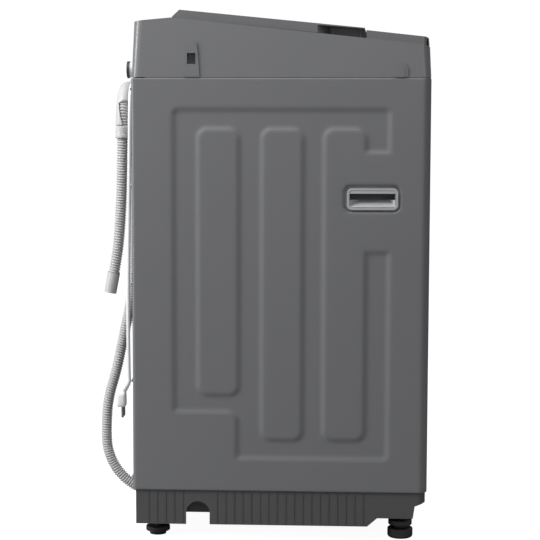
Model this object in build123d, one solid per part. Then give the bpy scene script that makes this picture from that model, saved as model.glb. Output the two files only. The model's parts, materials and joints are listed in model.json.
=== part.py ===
"""Top load washing machine, in millimetres, with +Z up and the user at -Y.

Each piece is drawn about the middle of the cabinet. save() moves it so that the origin lies on
the floor under the middle of the whole machine, from the front panel to the inlet cap.
"""
import os
from math import atan2, degrees, pi, radians, tan

from build123d import *

# Cabinet
cabinet_width = 520
cabinet_depth = 530
lid_crest_z = 950
base_bottom = 28
base_top = 91
seam_z = 830
sheet = 0.8
plastic = 3
front_corner = 16
rear_corner = 6
rear_opening = 470
inlet_reach = 14
press_depth = 3
press_slope = 66
press_corner = 12

# Top frame, lid and control panel, as points of the side view (Y, Z)
frame_foot_z = 831.5
frame_outline = [(-270, frame_foot_z), (270, frame_foot_z), (266, 928.5), (246, 931), (193, 935.8),
                 (180.5, 934.8), (-245.2, 889.4), (-254, 887.4), (-270, 881.5)]
lid_front_y = -149.5
lid_front_z = 917.9
lid_rear_y = 179.8
band_half_width = 248
hinge_y = 188.5
hinge_z = 930
hinge_pin_radius = 3
panel_front = (-254.5, 902.9)
panel_rear = (-150.3, 914.2)
throat_radius = 178
throat_front_y = -140
throat_rear_y = 168

# Tub, basket and drive
tub_radius = 232
tub_wall = 3
tub_bottom = 262
tub_top = 760
basket_radius = 205
basket_wall = 0.8
basket_bottom = 288
basket_top = 742
pulsator_radius = 160
rod_x = 212
rod_y = 214
spring_bottom = 340
spring_top = 420
pulley_radius = 75
motor_pulley_radius = 25
motor_x = 165
pulley_z = 150
running_gap = 0.05

# Hand arches in the base's sides
arch_y = 147.7
arch_radius = 21.4
arch_z = 48.8
arch_wall_x = 228

# Feet
foot_x = 215
front_foot_y = -219
rear_foot_y = 225

# Pump and drain
pump_x = -60
pump_y = 160
pump_z = 68

# Hose and cord
hose_radius = 11
cuff_radius = 11.4
cord_radius = 3.5
cord_strip_z = 822
cord_strip_y = 269.5

half_width = cabinet_width / 2
half_depth = cabinet_depth / 2


def block(x, y, z):
    """A box between pairs of limits."""
    size = Box(x[1] - x[0], y[1] - y[0], z[1] - z[0])
    return Pos((x[0] + x[1]) / 2, (y[0] + y[1]) / 2, (z[0] + z[1]) / 2) * size


def rod(radius, low, high, at=(0, 0)):
    """An upright cylinder."""
    return Pos(at[0], at[1], (low + high) / 2) * Cylinder(radius, high - low)


def rod_x_axis(radius, low, high, y, z):
    """A cylinder along X."""
    return Pos((low + high) / 2, y, z) * Rot(0, 90, 0) * Cylinder(radius, high - low)


def rod_y_axis(radius, low, high, x, z):
    """A cylinder along Y."""
    return Pos(x, (low + high) / 2, z) * Rot(90, 0, 0) * Cylinder(radius, high - low)


def rod_between(radius, start, end, end_radius=None):
    """A cylinder, or a cone, from one point to another."""
    axis = Vector(*end) - Vector(*start)
    plane = Plane(origin=start, z_dir=axis)
    top_radius = radius if end_radius is None else end_radius
    if top_radius == radius:
        body = Cylinder(radius, axis.length, align=(Align.CENTER, Align.CENTER, Align.MIN))
    else:
        body = Cone(radius, top_radius, axis.length, align=(Align.CENTER, Align.CENTER, Align.MIN))
    return plane * body


def side_prism(points, low_x, high_x):
    """A side view outline (Y, Z) carried across X."""
    face = make_face(Polyline(*points, close=True))
    return extrude(Plane.YZ.offset(low_x) * face, high_x - low_x)


def side_rectangle(y, z):
    """A rectangle of the side view."""
    return Pos((y[0] + y[1]) / 2, (z[0] + z[1]) / 2) * Rectangle(y[1] - y[0], z[1] - z[0])


def span(side, near, far):
    """The limits in X of something that reaches from near to far on one side."""
    return tuple(sorted((near * side, far * side)))


def both_sides(shape):
    """The shape on the left and its mirror image on the right."""
    return Compound(children=[shape, mirror(shape, Plane.YZ)])


def save(name, shape):
    """Write one piece, with the origin under the middle of the machine."""
    moved = Pos(0, -inlet_reach / 2, 0) * shape
    solids = moved.solids()
    export_step(solids[0] if len(solids) == 1 else Compound(children=solids), f"parts/{name}.step")


def footprint(inset):
    """The cabinet's plan: wide corners at the front and tight folds at the rear."""
    plan = Rectangle(cabinet_width - 2 * inset, cabinet_depth - 2 * inset)
    plan = fillet(plan.vertices().sort_by(Axis.Y)[:2], front_corner - inset)
    return fillet(plan.vertices().sort_by(Axis.Y)[-2:], max(rear_corner - inset, 1))


def comb_pressing():
    """The shallow field pressed into the left side, with three long islands left proud."""
    field = side_rectangle((-196.5, 194), (147, 779))
    field -= side_rectangle((81.5, 200), (140, 231))
    field -= side_rectangle((-200, -140), (527, 696.5))
    for y, low_z in (((78.4, 142.6), 269.6), ((-35.5, 28.6), 188.6), ((-147, -81.6), 189.4)):
        field -= side_rectangle(y, (low_z, 737))
    field = fillet(field.vertices(), press_corner)
    return extrude(Plane.YZ.offset(-half_width) * field, press_depth, taper=press_slope)


def cabinet_shell():
    """One folded sheet: front, both sides and a narrow fold at each rear edge."""
    plan = footprint(0) - footprint(sheet)
    shell = Pos(0, 0, base_top) * extrude(plan, seam_z - base_top)
    half_opening = rear_opening / 2
    shell -= block((-half_opening, half_opening), (half_depth - 20, half_depth + 1), (base_top, seam_z))
    opening = side_rectangle((-210.9, -114.4), (596.1, 641))
    opening = fillet(opening.vertices(), 11)
    shell -= extrude(Plane.YZ.offset(-300) * opening, 600)
    left = comb_pressing()
    shell = shell + Pos(sheet, 0, 0) * left - left
    right = mirror(left, Plane.YZ)
    return shell + Pos(-sheet, 0, 0) * right - right


def rear_panel():
    """A sheet behind the folds, with a raised band at the top and the service opening."""
    face_y = half_depth - sheet - 0.2
    crest_y = half_depth + 6
    panel = block((-250, 250), (face_y - sheet, face_y), (base_top + 2, seam_z - 2))
    panel += block((-190, 138), (face_y - sheet, crest_y), (737, 813))
    panel -= block((-188.8, 136.8), (face_y - 5, crest_y - sheet), (738.2, 811.8))
    return panel - block((-178, 138), (face_y - 5, face_y + 5), (195, 715))


def rear_access_cover():
    """A shallow dished cover over the service opening, with cooling slots near its foot."""
    low_x = -190
    high_x = 150
    outer = [(264.2, 175), (268.5, 175), (270, 190), (272.8, 287), (274.4, 460), (272.8, 632),
             (270.5, 728), (268.5, 735), (264.2, 735)]
    inner = [(260, 182), (267.3, 182), (268.4, 191), (271.2, 288), (272.8, 460), (271.2, 631),
             (269, 724), (267.3, 728), (260, 728)]
    cover = side_prism(outer, low_x, high_x) - side_prism(inner, low_x + 4, high_x - 4)
    for row in range(8):
        slot_z = 206 + 9 * row
        cover -= block((-90, -20), (264, 280), (slot_z, slot_z + 4))
        cover -= block((0, 70), (264, 280), (slot_z, slot_z + 4))
    return cover


def rear_screws():
    """Pan head screws that hold the rear panel to the folds."""
    heads = []
    for x in (-252, 252):
        for z in (115, 290, 465, 640, 812):
            heads.append(rod_y_axis(3.5, half_depth + 0.1, half_depth + 2, x, z))
    return Compound(children=heads)


def base_skirt():
    """The open moulded base: toe recess, side arches, ribs, foot blocks and the pump's shelf."""
    outline = [(-264, 90.8), (-263, 73.4), (-243.4, 66), (-240, 43.5), (-176, 43.5), (-158, base_bottom),
               (260, base_bottom), (260, 90.8)]
    hollow = [(-261, 92), (-260, 75.7), (-240.6, 68.3), (-236.8, 20), (257, 20), (257, 92)]
    outer = side_prism(outline, -257, 257) & extrude(footprint(3), 100)
    rim = outer & block((-257, 257), (-264, 260), (87.8, 90.8))
    inner = side_prism(hollow, -254, 254) & extrude(footprint(6), 100)
    base = outer - inner
    base += rim - block((-232, 232), (-236, 236), (80, 95))
    for side in (-1, 1):
        x = span(side, 190, 254.5)
        base += block(x, (-238, -195), (43.5, 88))
        base += block(x, (198, 257.5), (base_bottom, 88))
        base -= rod(5.3, 40, 89, (foot_x * side, front_foot_y))
        base -= rod(5.3, 20, 75, (foot_x * side, rear_foot_y))
        wall = span(side, 250, 262)
        base -= rod_x_axis(arch_radius, *wall, arch_y, arch_z)
        base -= block(wall, (arch_y - arch_radius, arch_y + arch_radius), (20, arch_z))
        base += block(span(side, arch_wall_x - 3, arch_wall_x), (arch_y - 40, arch_y + 40), (43, 88))
        for end in (-1, 1):
            end_y = arch_y + 38.5 * end
            base += block(span(side, 225, 255), (end_y - 1.5, end_y + 1.5), (43, 88))
        ribs = []
        for step in range(26):
            y = -150 + 15.5 * step
            if abs(y - arch_y) > arch_radius + 6:
                ribs.append(block(span(side, 256.5, 257.8), (y - 1, y + 1), (31, 88)))
        base = base.fuse(*ribs)
    base += block((-110, 20), (110, 224), (base_bottom, 31))
    base += block((-110, -84), (223, 258), (base_bottom, 31))
    base += block((-36, 20), (223, 258), (base_bottom, 31))
    return base - block((pump_x - 14, pump_x + 14), (250, 262), (20, 52))


def rear_foot(side):
    """A fixed foot: rubber pad, flange and stem."""
    at = (foot_x * side, rear_foot_y)
    pad = rod(15, 0, 6, at)
    flange = rod(22, 6, 15, at)
    flange = fillet(flange.edges().filter_by(GeomType.CIRCLE), 2)
    return pad + flange + rod(5, 15, 70, at)


def front_foot(side):
    """A screwed foot: round bottomed disc, neck and threaded stem."""
    at = (foot_x * side, front_foot_y)
    disc = rod(23, 0, 18, at)
    disc = fillet(disc.edges().filter_by(GeomType.CIRCLE).sort_by(Axis.Z)[0], 5)
    disc = fillet(disc.edges().filter_by(GeomType.CIRCLE).sort_by(Axis.Z)[-1], 3)
    return disc + rod(10, 18, 23, at) + rod(5, 23, 84, at)


def lock_nut(side):
    """The round nut that locks a front foot's stem."""
    at = (foot_x * side, front_foot_y)
    nut = rod(21.5, 23.5, 33, at)
    nut = chamfer(nut.edges().filter_by(GeomType.CIRCLE), 1)
    return nut - rod(5.3, 20, 40, at)


def tapered_column(inset):
    """The top frame's plan, leaning in as it rises."""
    low = RectangleRounded(519 - 2 * inset, 529.4 - 2 * inset, 14 - inset)
    high = RectangleRounded(514 - 2 * inset, 517 - 2 * inset, 18 - inset)
    return loft([Pos(0, 0.2, seam_z) * low, Pos(0, 0.3, 960) * high])


def throat(radius, margin, low, high):
    """The loading mouth: a circle cut flat at the front and rear."""
    wide = rod(radius, low, high)
    return wide & block((-radius, radius), (throat_front_y - margin, throat_rear_y + margin), (low, high))


def top_frame():
    """The sloped moulded top, with the loading funnel, hinge trough, rear tabs and inlet hole."""
    outer = side_prism(frame_outline, -half_width, half_width) & tapered_column(0)
    lowered = [(y, z - plastic) for y, z in frame_outline[2:]]
    hollow = side_prism([(-270, 820), (270, 820)] + lowered, -half_width, half_width)
    frame = outer - (hollow & tapered_column(plastic))
    clip = side_prism([(-270, 780), (270, 780)] + frame_outline[2:], -half_width, half_width)
    frame += throat(throat_radius + plastic, plastic, 800, 945) & clip
    frame += side_prism([(173, 920.5), (197.3, 920.5), (218, 938.8), (173, 938.8)], -251.5, 251.5) & clip
    frame -= throat(throat_radius, 0, 790, 960)
    trough = [(176, 923.5), (196, 923.5), (211.3, 937), (211.3, 960), (176, 960)]
    frame -= side_prism(trough, -248.5, 248.5)
    tongue = footprint(sheet + 0.3) - footprint(sheet + 2.3)
    frame += Pos(0, 0, 819) * extrude(tongue, 14) - block((-300, 300), (240, 300), (810, 840))
    frame -= rod_x_axis(hinge_pin_radius + running_gap, -254, 254, hinge_y, hinge_z)
    frame -= block((-78, 78), (160, 176), (861, 912))
    for side in (-1, 1):
        frame += rear_tab(side)
        frame += block(span(side, 246, 257), (148.4, 166.9), (852.6, 875.4))
        frame -= block(span(side, 248, 262), (150.2, 165.1), (854.4, 873.6))
    return frame - rod_y_axis(14, 250, 270, -200, 846.75)


def rear_tab(side):
    """A raised bell shaped tab on the side of the top frame."""
    bell = make_face(Polyline((142.8, 832), (170.5, 832), (166.6, 894), (148, 894), close=True))
    bell = fillet(bell.vertices().sort_by(Axis.Y)[-2:], 8.5)
    tab = extrude(Plane.YZ.offset(-261) * bell, 4.2)
    return tab if side < 0 else mirror(tab, Plane.YZ)


def screw_cover():
    """An arched cap over the screw at the front of the top frame's left side."""
    centre_y = -210.8
    centre_z = 843
    cover = None
    for inset, proud_x in ((0, -260.7), (3.4, -261.1), (7, -261.5)):
        radius = 12.5 - inset
        arch = side_rectangle((centre_y - radius, centre_y + radius), (832, centre_z))
        arch += Pos(centre_y, centre_z) * Circle(radius)
        step = extrude(Plane.YZ.offset(proud_x) * arch, -259.6 - proud_x)
        cover = step if cover is None else cover + step
    return cover


def lid_place():
    """The lid's own frame: origin on its top face over the cabinet's middle."""
    rise = lid_crest_z - lid_front_z
    run = lid_rear_y - lid_front_y
    slope = atan2(rise, run)
    return Pos(0, 0, lid_front_z - lid_front_y * tan(slope)) * Rot(degrees(slope), 0, 0)


def finger_recess(side):
    """The hollow under the lid's side edge: a slanted rear end and two thin ribs on its back wall."""
    profile = side_prism([(-155, 890), (-56, 890), (-56, 924), (-155, 916.1)], *span(side, 220, 252))
    inner_x = 226 * side
    outer_x = 252 * side
    corners = [(inner_x, -86), (outer_x, -60), (outer_x, -155), (inner_x, -155)]
    plan = make_face(Polyline(*corners, close=True))
    recess = profile & Pos(0, 0, 880) * extrude(plan, 60)
    for rib_y in (-91.2, -140.4):
        recess -= block(span(side, 220, 236), (rib_y - 0.9, rib_y + 0.9), (880, 940))
    return recess


def lid_frame():
    """The moulded lid: a sloped tray turned down, with side finger recesses and hinge knuckles."""
    outline = [(lid_front_y, 901), (lid_front_y, 914.5), (-146.5, 918.2), (lid_rear_y, lid_crest_z),
               (hinge_y + 5, 937.3), (lid_rear_y, 935.4)]
    lid = side_prism(outline, -band_half_width, band_half_width)
    pocket = side_prism([(-146.5, 890), (-146.5, 915), (172, 946.7), (172, 920)], -245, 245)
    place = lid_place()
    pocket -= place * block((-192, 192), (-126, 156), (-40, 10))
    for side in (-1, 1):
        pocket -= block(span(side, 223, 250), (-151, -53), (880, 930))
    lid -= pocket
    lid -= place * block((-188, 188), (-122, 152), (-4.2, 5))
    lid -= place * block((-180, 180), (-114, 144), (-40, 5))
    for side in (-1, 1):
        lid -= finger_recess(side)
        knuckle = rod_x_axis(6, *span(side, 222, 242), hinge_y, hinge_z)
        knuckle += block(span(side, 222, 242), (hinge_y - 5.5, hinge_y + 3.5), (hinge_z, 938))
        lid += knuckle
    return lid - rod_x_axis(hinge_pin_radius, -255, 255, hinge_y, hinge_z)


def lid_glass():
    """The tempered window in the lid."""
    pane = block((-187.7, 187.7), (-121.7, 151.7), (-4.1, -0.3))
    return lid_place() * fillet(pane.edges().filter_by(Axis.Z), 1)


def hinge_pins():
    """Two short pins that carry the lid in the frame's trough ends."""
    return both_sides(rod_x_axis(hinge_pin_radius, -251.2, -236, hinge_y, hinge_z))


def panel_place():
    """The control panel's own frame: origin in the middle of its sloped top."""
    slope = atan2(panel_rear[1] - panel_front[1], panel_rear[0] - panel_front[0])
    middle_y = (panel_front[0] + panel_rear[0]) / 2
    middle_z = (panel_front[1] + panel_rear[1]) / 2
    return Pos(0, middle_y, middle_z) * Rot(degrees(slope), 0, 0)


button_places = {
    "power_button": (-196, 9),
    "start_button": (196, 11),
    "program_button": (-140, 7),
    "water_level_button": (-112, 7),
}


def control_panel():
    """The wedge shaped panel: a thin moulding with holes for the keys and the display."""
    outline = [(panel_rear[0], 900.1), panel_rear, panel_front, (-259.7, 900.4), (-261.4, 886.8),
               (-254, 887.9), (-245.2, 889.9)]
    panel = side_prism(outline, -band_half_width, band_half_width)
    plan = RectangleRounded(2 * band_half_width, 523, 14)
    panel = panel & Pos(0, 0, 870) * extrude(plan, 60)
    hollow = [(-153.8, 890), (-153.8, 911.2), (-254, 900.3), (-257.5, 898.6), (-258.6, 880)]
    panel -= side_prism(hollow, -band_half_width + 2.5, band_half_width - 2.5)
    for x, radius in button_places.values():
        panel -= panel_place() * rod(radius + 0.4, -8, 4, (x, 0))
    return panel - panel_place() * block((-70.3, 70.3), (-20.3, 20.3), (-8, 4))


def display_window():
    """The smoked window over the display."""
    return panel_place() * block((-70, 70), (-20, 20), (-2.4, -0.2))


def control_board():
    """The circuit board under the panel."""
    return panel_place() * block((-215, 215), (-30, 30), (-10.6, -9))


def button(x, radius):
    """A push key with a domed rim."""
    key = rod(radius, -6, 1.3, (x, 0))
    key = fillet(key.edges().filter_by(GeomType.CIRCLE).sort_by(Axis.Z)[-1], 1)
    return panel_place() * key


def handle_cup():
    """The left handle: a rimmed plate, a deep finger slot and a sloped floor between slanted ends."""
    plate = fillet(side_rectangle((-207.7, -117.7), (599, 637.2)).vertices(), 9)
    groove = fillet(side_rectangle((-204.1, -121.3), (602.6, 633.6)).vertices(), 6)
    groove -= fillet(side_rectangle((-202.9, -122.5), (603.6, 632.2)).vertices(), 5)
    flange = fillet(side_rectangle((-215, -110), (592, 645)).vertices(), 12)
    cup = extrude(Plane.YZ.offset(-261.5) * plate, 8)
    cup += extrude(Plane.YZ.offset(-254.5) * flange, 2)
    cup += block((-255, -213), (-206, -119.4), (600, 637))
    cup -= extrude(Plane.YZ.offset(-262) * groove, 1.3)
    slot = make_face(Polyline((-262, 616.6), (-262, 627.7), (-258, 627.7), (-254, 635), (-215, 635),
                              (-215, 616.6), close=True))
    cup -= extrude(Plane.XZ.offset(122.6) * slot, 80.2)
    floor = make_face(Polyline((-262, 603.6), (-262, 617), (-244, 617), (-244, 616.6), close=True))
    ends = make_face(Polyline((-262, -202.8), (-262, -122.6), (-260, -122.6), (-244, -141.7),
                              (-244, -193.4), (-260, -202.8), close=True))
    return cup - (extrude(Plane.XZ.offset(110) * floor, 110) & Pos(0, 0, 590) * extrude(ends, 60))


def inlet_valve():
    """The solenoid valve behind the inlet."""
    body = block((-225, -175), (205, 252), (834, 860))
    return body + rod(11, 858, 884, (-200, 222))


def inlet_nozzle():
    """The threaded water inlet."""
    nozzle = rod_y_axis(13.2, 252.2, 274.4, -200, 846.75)
    return nozzle - rod_y_axis(6, 256, 280, -200, 846.75)


def inlet_cap():
    """The dust cap on the inlet."""
    cap = rod_y_axis(15.2, 274.5, 279, -200, 846.75)
    cap = fillet(cap.edges().filter_by(GeomType.CIRCLE).sort_by(Axis.Y)[-1], 1)
    return cap + rod_y_axis(5.7, 268, 274.5, -200, 846.75)


def detergent_housing():
    """The fixed sleeve of the detergent drawer."""
    sleeve = block((-81, 81), (171.3, 252), (858, 915))
    return sleeve - block((-78, 78), (170, 250), (861, 912))


def detergent_drawer():
    """The drawer: a tray with two compartments and a front plate with a finger lip."""
    tray = block((-75.5, 75.5), (167.8, 246), (863, 909))
    tray -= block((-73, 20), (171, 243.5), (866, 912))
    tray -= block((23, 73), (171, 243.5), (866, 912))
    return tray + block((-30, 30), (158, 168), (900, 903))


def lid_lock():
    """The lid's lock under the front of the top frame."""
    return block((120, 172), (-196, -152), (862, 887)) - block((135, 157), (-165, -150), (868, 880))


def corner_brackets():
    """Corner plates in the top of the cabinet, each holding one suspension rod."""
    plates = []
    for x in (-rod_x, rod_x):
        for y in (-rod_y, rod_y):
            plate = block((x - 34, x + 34), (y - 34, y + 34), (808, 812))
            plates.append(plate - rod(5, 800, 820, (x, y)))
    return Compound(children=plates)


def suspension_rods():
    """Four rods with a ball at the top and a spring seat at the foot."""
    rods = []
    for x in (-rod_x, rod_x):
        for y in (-rod_y, rod_y):
            at = (x, y)
            rods.append(rod(4, 334, 814, at) + rod(14, 334, spring_bottom, at) + rod(9, 812.2, 820, at))
    return Compound(children=rods)


def suspension_springs():
    """The springs' envelopes between the rods' seats and the tub's ears."""
    springs = []
    for x in (-rod_x, rod_x):
        for y in (-rod_y, rod_y):
            at = (x, y)
            spring = rod(13, spring_bottom, spring_top, at)
            springs.append(spring - rod(9, spring_bottom - 1, spring_top + 1, at))
    return Compound(children=springs)


def outer_tub():
    """The plastic water tub, with four ears, a gear case hole and a drain spout."""
    tub = rod(tub_radius, tub_bottom, tub_top)
    corner = degrees(atan2(rod_y, rod_x))
    for quarter in range(4):
        turn = corner + 90 * quarter
        ear = block((226, 322), (-22, 22), (spring_top + 0.2, spring_top + 10))
        ear += block((226, 262), (-3, 3), (spring_top - 40, spring_top + 50))
        tub += Rot(0, 0, turn) * ear
    for level in (330, 520, 640):
        tub += rod(tub_radius + 4, level, level + 4)
    tub += rod(18, 240, tub_bottom + 1, (pump_x, pump_y))
    tub -= rod(tub_radius - tub_wall, tub_bottom + 4, tub_top + 1)
    tub -= rod(30, tub_bottom - 1, tub_bottom + 10)
    tub -= rod(13, 230, tub_bottom + 10, (pump_x, pump_y))
    for x in (-rod_x, rod_x):
        for y in (-rod_y, rod_y):
            tub -= rod(6, spring_top - 5, spring_top + 20, (x, y))
    return tub


def tub_cover():
    """The splash ring on the tub's rim."""
    ring = rod(tub_radius + 3, tub_top - 12, tub_top + 3.2)
    ring -= rod(tub_radius + 0.2, tub_top - 13, tub_top + 0.2)
    ring += rod(189, tub_top + 0.2, tub_top + 25)
    return ring - rod(186, tub_top - 1, tub_top + 30)


def gear_case():
    """The reduction gear's case, with its lower and upper bearings."""
    case = rod(60, 198, 250) + rod(78, 250, 256) + rod(28, 256, 286) + rod(22, 186, 198)
    case -= rod(54, 204, 228) - rod(14, 204, 228)
    case -= rod(16 + running_gap, 232, 290)
    return case - rod(9 + running_gap, 180, 240)


def motor_bracket():
    """The steel plate under the tub that carries the gear case and the motor."""
    plate = block((-84, 230), (-62, 62), (256.2, 261.8))
    return plate - rod(28.5, 250, 265)


def motor_housing():
    """The motor's case with its end bells."""
    at = (motor_x, 0)
    case = rod(58, 186, 250, at) + rod(30, 176, 186, at) + rod(40, 250, 256, at)
    for turn in range(8):
        vent = block((40, 62), (-3, 3), (200, 236))
        case -= Pos(motor_x, 0, 0) * Rot(0, 0, 45 * turn) * vent
    return case - rod(6 + running_gap, 170, 215, at)


def grooved_pulley(radius, shaft_radius, shaft_top, at):
    """A belt pulley with its shaft."""
    wheel = rod(radius, pulley_z, pulley_z + 16, at)
    groove = rod(radius + 1, pulley_z + 3.5, pulley_z + 12.5, at)
    wheel -= groove - rod(radius - 3, pulley_z, pulley_z + 16, at)
    return wheel + rod(shaft_radius, pulley_z - 2, shaft_top, at)


def drive_pulley():
    """The large pulley under the gear case, with lightening holes."""
    pulley = grooved_pulley(pulley_radius, 9, 230, (0, 0))
    for quarter in range(5):
        pulley -= Rot(0, 0, 72 * quarter) * rod(15, pulley_z - 5, pulley_z + 20, (43, 0))
    return pulley


def motor_pulley():
    """The small pulley on the motor's shaft."""
    return grooved_pulley(motor_pulley_radius, 6, 210, (motor_x, 0))


def belt_loop(extra):
    """The plan of a loop round both pulleys."""
    large = Circle(pulley_radius - 3 + extra)
    small = Pos(motor_x, 0) * Circle(motor_pulley_radius - 3 + extra)
    return make_hull(large.edges() + small.edges())


def drive_belt():
    """The belt from the motor to the large pulley."""
    return Pos(0, 0, pulley_z + 4) * extrude(belt_loop(4.2) - belt_loop(0.2), 8)


def drain_bellows():
    """The flexible pipe under the tub, whose foot hangs inside the pump's inlet cup."""
    at = (pump_x, pump_y)
    pipe = rod(17, 150, 239.8, at)
    for ridge in range(5):
        pipe += rod(20, 178 + 12 * ridge, 184 + 12 * ridge, at)
    return pipe - rod(13.5, 140, 245, at)


def basket_drum():
    """The spin basket's rolled steel wall."""
    return rod(basket_radius, basket_bottom, basket_top) - rod(basket_radius - basket_wall, 280, 750)


def basket_base():
    """The basket's moulded floor on the spin shaft."""
    at_rim = basket_radius - basket_wall - 0.2
    base = rod(at_rim, basket_bottom + 2, basket_bottom + 10)
    base += rod(at_rim, basket_bottom + 2, basket_bottom + 26) - rod(pulsator_radius + 6, 280, 330)
    base += rod(40, basket_bottom, basket_bottom + 10) + rod(16, 234, basket_bottom + 2)
    return base - rod(9 + running_gap, 230, 330)


def balance_ring():
    """The hollow liquid filled ring round the basket's mouth."""
    ring = rod(basket_radius - basket_wall - 0.2, 700, 742.2) + rod(208, 742.2, 748)
    ring -= rod(170, 690, 760)
    return ring - (rod(200, 704, 738) - rod(173, 700, 740))


def lint_filters():
    """Two lint boxes on the basket's wall."""
    box = block((-36, 36), (186, 199), (450, 610))
    box = fillet(box.edges().filter_by(Axis.Z).sort_by(Axis.Y)[:2], 6)
    box -= block((-30, 30), (192, 196), (460, 600))
    for row in range(9):
        box -= block((-26, 26), (184, 193), (468 + 14 * row, 474 + 14 * row))
    return Compound(children=[box, Rot(0, 0, 180) * box])


def pulsator():
    """The low dish at the basket's foot, with six washing ribs."""
    profile = Polyline((0, 304), (pulsator_radius, 304), (pulsator_radius, 310), (120, 314), (60, 322),
                       (42, 340), (0, 346), close=True)
    dish = revolve(Plane.XZ * make_face(profile), Axis.Z)
    for turn in range(6):
        rib = side_prism([(-7, 306), (7, 306), (3, 334), (-3, 334)], 30, 148)
        dish += Rot(0, 0, 60 * turn) * rib
    return dish - rod(9, 300, 330)


def pulsator_shaft():
    """The pulsator's shaft inside the spin shaft."""
    return rod(9, 242, 329.8)


def pump_housing():
    """The drain pump's volute, with the inlet cup above and the outlet at the rear."""
    case = rod_x_axis(34, pump_x - 18, pump_x + 18, pump_y, pump_z)
    case += rod(24, pump_z + 24.5, 165, (pump_x, pump_y))
    case += rod_y_axis(9, pump_y, 222, pump_x, 42)
    case += block((pump_x - 16, pump_x + 16), (pump_y - 22, pump_y + 22), (31.2, 44))
    case -= rod_x_axis(30, pump_x - 14, pump_x + 14, pump_y, pump_z)
    case -= rod(21, 106, 170, (pump_x, pump_y))
    case -= rod(12, pump_z, 110, (pump_x, pump_y))
    case -= rod_y_axis(6.5, pump_y, 230, pump_x, 42)
    return case - rod_x_axis(3 + running_gap, pump_x, pump_x + 20, pump_y, pump_z)


def pump_impeller():
    """Four vanes on the pump's shaft."""
    wheel = rod_x_axis(8, pump_x - 11, pump_x + 11, pump_y, pump_z)
    for vane in range(2):
        blade = block((-10, 10), (-27, 27), (-1.5, 1.5))
        wheel += Pos(pump_x, pump_y, pump_z) * Rot(90 * vane, 0, 0) * blade
    return wheel + rod_x_axis(3, pump_x, pump_x + 34, pump_y, pump_z)


def pump_motor():
    """The pump's motor beside the volute."""
    motor = rod_x_axis(24, pump_x + 18.2, pump_x + 70, pump_y, pump_z)
    motor += block((pump_x + 24, pump_x + 64), (pump_y - 14, pump_y + 14), (31.2, 50))
    return motor - rod_x_axis(3 + running_gap, pump_x + 10, pump_x + 36, pump_y, pump_z)


# The drain hose, from the spout up to the guide, over it and down to its open end
hose_start = (pump_x, 260.5, 38)
hose_rise = [hose_start, (-60, 293.6, 52.1), (-60, 325.5, 82.4), (-60, 343.1, 122.7), (-60, 343.9, 168.7),
             (-59.5, 340.5, 222), (-59, 323, 279), (-58, 311, 338), (-57, 291, 428), (-55, 287.5, 520),
             (-54, 288, 615), (-53.5, 289, 710)]
hose_over = [(-53.3, 289.8, 792.6), (-106.65, 291.4, 823.4), (-160, 293, 792.6)]
hose_fall = [(-160.6, 294.3, 720), (-161.2, 296, 640), (-161.4, 299.5, 570), (-161, 304.5, 515),
             (-160.5, 312, 476)]
hose_end = (-160.1, 319.2, 438.7)

# The power cord, from the gland down and back up in one hanging loop, along the strip above
# the raised band, and down the left rear edge to the plug
cord_route = [(235, 271, 742), (236.5, 270.6, 670), (240, 270.8, 585), (243, 271.2, 500), (244, 271.5, 430),
              (203.5, 272, 406.5), (163, 271.5, 430), (163.5, 271, 505), (165.5, 270.2, 600),
              (166, 269.8, 700), (165, 269.6, 799.4), (142.4, 269.5, cord_strip_z),
              (55, 269.4, 820.8), (-37, 269.5, 820.2), (-130, 269.4, 820.9), (-217.4, 269.3, cord_strip_z),
              (-240, 269.1, 799.4), (-240.6, 270, 715), (-240.2, 271.6, 620), (-240.5, 273.4, 520),
              (-240, 274.6, 430), (-240.4, 274.6, 350), (-240, 273.8, 289)]
plug_collar = (-240, 273.7, 284.5)
plug_neck = (-240, 277.5, 278)
plug_top = (-240, 285, 268)


def route_radii(points):
    """One radius for each corner: 0.45 of the shorter run over the tangent of half the turn."""
    radii = []
    for before, corner, after in zip(points, points[1:], points[2:]):
        arriving = Vector(*corner) - Vector(*before)
        leaving = Vector(*after) - Vector(*corner)
        half_turn = radians(arriving.get_angle(leaving)) / 2
        radii.append(0.45 * min(arriving.length, leaving.length) / tan(half_turn))
    return radii


def swept_tube(points, radius, radii):
    """A round solid along straight runs joined by tangent arcs."""
    path = FilletPolyline(*points, radius=radii)
    start = Plane(origin=points[0], z_dir=Vector(*points[1]) - Vector(*points[0]))
    return sweep(start * Circle(radius), path=path), path.length


def soft_tube(name, points, radius):
    """A cord's or hose's solid, with its radii and its volume checked against its length."""
    radii = route_radii(points)
    tube, length = swept_tube(points, radius, radii)
    ratio = tube.volume / (pi * radius ** 2 * length)
    print(name, "length", round(length), "volume ratio", round(ratio, 4))
    print(name, "radii", [round(value) for value in radii])
    return tube


def hose_guide():
    """The U shaped guide at the top of the hose, with the strap on the falling leg."""
    foot_z = 746
    points = [(-53.4, 289.35, foot_z)] + hose_over + [(-160.4, 293.85, foot_z)]
    radii = route_radii(hose_rise[-1:] + hose_over + hose_fall[:1])
    outer = swept_tube(points, hose_radius + 2, radii)[0]
    guide = outer - swept_tube(points, hose_radius + 0.2, radii)[0]
    strap_at = (-160.6, 294.05)
    strap = rod(hose_radius + 1.6, 722, 745.9, strap_at) - rod(hose_radius + 0.5, 720, 750, strap_at)
    return Compound(children=guide.solids() + strap.solids())


def hose_cuff():
    """The plain end fitting of the hose."""
    start = hose_fall[-1]
    return rod_between(cuff_radius, start, hose_end) - rod_between(8, start, hose_end)


def hose_bracket():
    """The clip on the raised band that carries the guide."""
    plate = block((-132, -82), (271.1, 273.6), (770, 806))
    return plate + block((-114, -99), (273.6, 277.6), (786, 806)) - block((-126, -88), (260, 280), (776, 782))


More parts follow.
